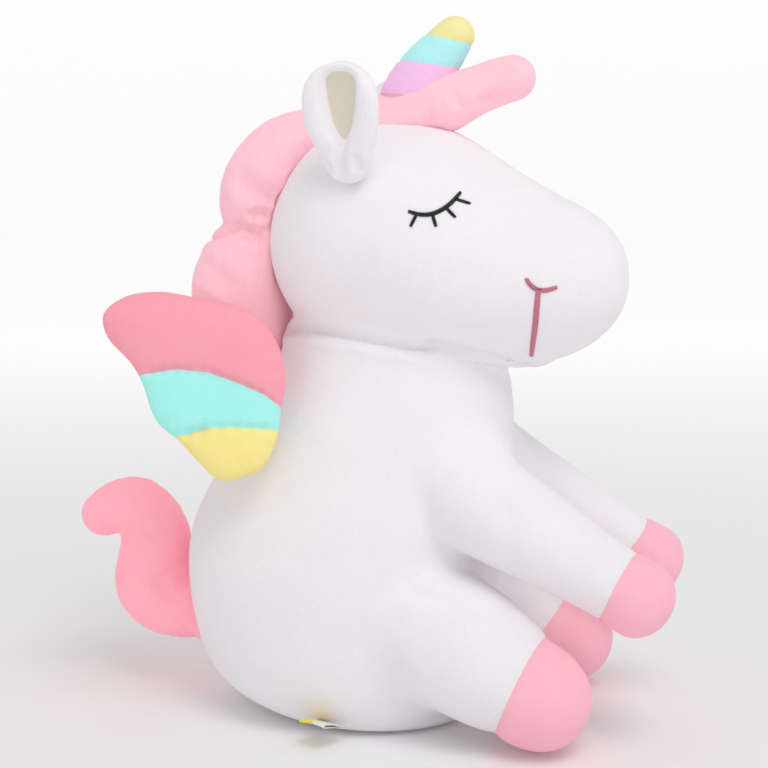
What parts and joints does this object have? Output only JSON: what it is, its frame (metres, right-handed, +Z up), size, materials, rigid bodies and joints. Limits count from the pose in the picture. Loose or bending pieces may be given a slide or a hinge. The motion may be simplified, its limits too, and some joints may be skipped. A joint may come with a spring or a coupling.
{
  "type": "plush unicorn",
  "caption": "Sitting plush unicorn toy with closed eyes, banded horn, padded wings, stuffed mane, curled tail and soft legs that swing",
  "frame": {"origin": "centre of the flat seat panel's underside, on the floor", "axes": "+X the way the face looks, +Y the animal's left, +Z up"},
  "size_m": [0.2514, 0.1276, 0.2733],
  "materials": {
    "white_velour": "very smooth short-pile stretch velour, white",
    "pink_velour": "very smooth short-pile stretch velour, soft pink, tightly stuffed",
    "hoof_velour": "short-pile stretch velour, warm pink",
    "coral_velour": "short-pile stretch velour, coral pink",
    "horn_coral_velour": "short-pile stretch velour, salmon pink",
    "lilac_velour": "short-pile stretch velour, lilac pink",
    "mint_velour": "short-pile stretch velour, mint",
    "yellow_velour": "short-pile stretch velour, lemon yellow",
    "cream_lining": "smooth short-pile ear lining, cream",
    "black_thread": "satin-stitch embroidery thread, black",
    "rose_thread": "satin-stitch embroidery thread, dusty rose",
    "sewing_thread": "twisted polyester sewing thread, white",
    "gather_thread": "twisted polyester sewing thread, pink",
    "satin_label": "woven satin label tape, white with a plain yellow band, no print",
    "fibre_fill": "loose polyester fibre fill"
  },
  "bodies": {
    "torso": {"seat_panel": "white_velour", "torso_panel_left": "white_velour", "torso_panel_right": "white_velour", "torso_stuffing": "fibre_fill", "mane_cover_lower": "pink_velour", "mane_stuffing_lower": "fibre_fill"},
    "label": {"care_label": "satin_label"},
    "neck": {"neck_stuffing": "fibre_fill", "neck_closing_thread": "sewing_thread"},
    "head": {"head_panel_left": "white_velour", "head_panel_right": "white_velour", "head_stuffing": "fibre_fill", "eye_left": "black_thread", "eye_right": "black_thread", "mouth": "rose_thread", "mane_cover_upper": "pink_velour", "mane_stuffing_upper": "fibre_fill", "mane_gather_thread": "gather_thread", "mane_cover_middle": "pink_velour", "mane_stuffing_middle": "fibre_fill"},
    "ear_left": {"ear_left_back": "white_velour", "ear_left_lining": "cream_lining"},
    "ear_right": {"ear_right_back": "white_velour", "ear_right_lining": "cream_lining"},
    "horn": {"horn_band_coral": "horn_coral_velour", "horn_band_lilac": "lilac_velour", "horn_band_mint": "mint_velour", "horn_tip_yellow": "yellow_velour", "horn_stuffing": "fibre_fill"},
    "forelock": {"forelock_cover": "pink_velour", "forelock_stuffing": "fibre_fill"},
    "wing_left": {"wing_left_coral": "coral_velour", "wing_left_mint": "mint_velour", "wing_left_yellow": "yellow_velour", "wing_left_wadding": "fibre_fill"},
    "wing_right": {"wing_right_coral": "coral_velour", "wing_right_mint": "mint_velour", "wing_right_yellow": "yellow_velour", "wing_right_wadding": "fibre_fill"},
    "front_leg_left": {"front_leg_left_sleeve": "white_velour", "front_leg_left_hoof": "hoof_velour", "front_leg_left_stuffing": "fibre_fill"},
    "front_leg_right": {"front_leg_right_sleeve": "white_velour", "front_leg_right_hoof": "hoof_velour", "front_leg_right_stuffing": "fibre_fill"},
    "hind_leg_left": {"hind_leg_left_sleeve": "white_velour", "hind_leg_left_hoof": "hoof_velour", "hind_leg_left_stuffing": "fibre_fill"},
    "hind_leg_right": {"hind_leg_right_sleeve": "white_velour", "hind_leg_right_hoof": "hoof_velour", "hind_leg_right_stuffing": "fibre_fill"},
    "tail": {"tail_cover": "pink_velour", "tail_stuffing": "fibre_fill"}
  },
  "joints": [
    {"name": "head_turn", "type": "hinge", "parent": "torso", "child": "neck", "pos_m": [0.003, 0, 0.146], "axis": [0, 0, 1], "range_deg": [-16, 16], "stiffness_Nm_per_rad": 0.8},
    {"name": "head_nod", "type": "hinge", "parent": "neck", "child": "head", "pos_m": [0.003, 0, 0.146], "axis": [0, 1, 0], "range_deg": [-9, 8], "stiffness_Nm_per_rad": 1.6},
    {"name": "ear_left_fold", "type": "hinge", "parent": "head", "child": "ear_left", "pos_m": [-0.005, 0.0415, 0.2115], "axis": [-1, 0, 0], "range_deg": [-8, 35], "stiffness_Nm_per_rad": 0.02},
    {"name": "ear_right_fold", "type": "hinge", "parent": "head", "child": "ear_right", "pos_m": [-0.005, -0.0415, 0.2115], "axis": [1, 0, 0], "range_deg": [-8, 35], "stiffness_Nm_per_rad": 0.02},
    {"name": "horn_bend", "type": "hinge", "parent": "head", "child": "horn", "pos_m": [0.01, 0, 0.232], "axis": [0, 1, 0], "range_deg": [-8, 8], "stiffness_Nm_per_rad": 0.06},
    {"name": "forelock_lift", "type": "hinge", "parent": "head", "child": "forelock", "pos_m": [0.032, 0, 0.2435], "axis": [0, 1, 0], "range_deg": [-10, 10], "stiffness_Nm_per_rad": 0.02},
    {"name": "wing_left_flap", "type": "hinge", "parent": "torso", "child": "wing_left", "pos_m": [-0.033, 0.044, 0.128], "axis": [0, 0.2079, -0.9781], "range_deg": [-6, 30], "stiffness_Nm_per_rad": 0.06},
    {"name": "wing_right_flap", "type": "hinge", "parent": "torso", "child": "wing_right", "pos_m": [-0.033, -0.044, 0.128], "axis": [0, 0.2079, 0.9781], "range_deg": [-6, 30], "stiffness_Nm_per_rad": 0.06},
    {"name": "front_leg_left_swing", "type": "hinge", "parent": "torso", "child": "front_leg_left", "pos_m": [0.054, 0.027, 0.086], "axis": [0, 1, 0], "range_deg": [-30, 8], "stiffness_Nm_per_rad": 0.25},
    {"name": "front_leg_right_swing", "type": "hinge", "parent": "torso", "child": "front_leg_right", "pos_m": [0.054, -0.027, 0.086], "axis": [0, 1, 0], "range_deg": [-30, 8], "stiffness_Nm_per_rad": 0.25},
    {"name": "hind_leg_left_swing", "type": "hinge", "parent": "torso", "child": "hind_leg_left", "pos_m": [0.04, 0.034, 0.036], "axis": [0, 1, 0], "range_deg": [-14, 10], "stiffness_Nm_per_rad": 0.5},
    {"name": "hind_leg_right_swing", "type": "hinge", "parent": "torso", "child": "hind_leg_right", "pos_m": [0.04, -0.034, 0.036], "axis": [0, 1, 0], "range_deg": [-14, 10], "stiffness_Nm_per_rad": 0.5},
    {"name": "tail_wag", "type": "hinge", "parent": "torso", "child": "tail", "pos_m": [-0.082, 0, 0.033], "axis": [0, 0, 1], "range_deg": [-25, 25], "stiffness_Nm_per_rad": 0.12},
    {"name": "label_flap", "type": "hinge", "parent": "torso", "child": "label", "pos_m": [-0.0088, -0.0489, 0.0062], "axis": [-0.9336, 0.3584, 0], "range_deg": [-8, 8], "stiffness_Nm_per_rad": 0.002}
  ]
}
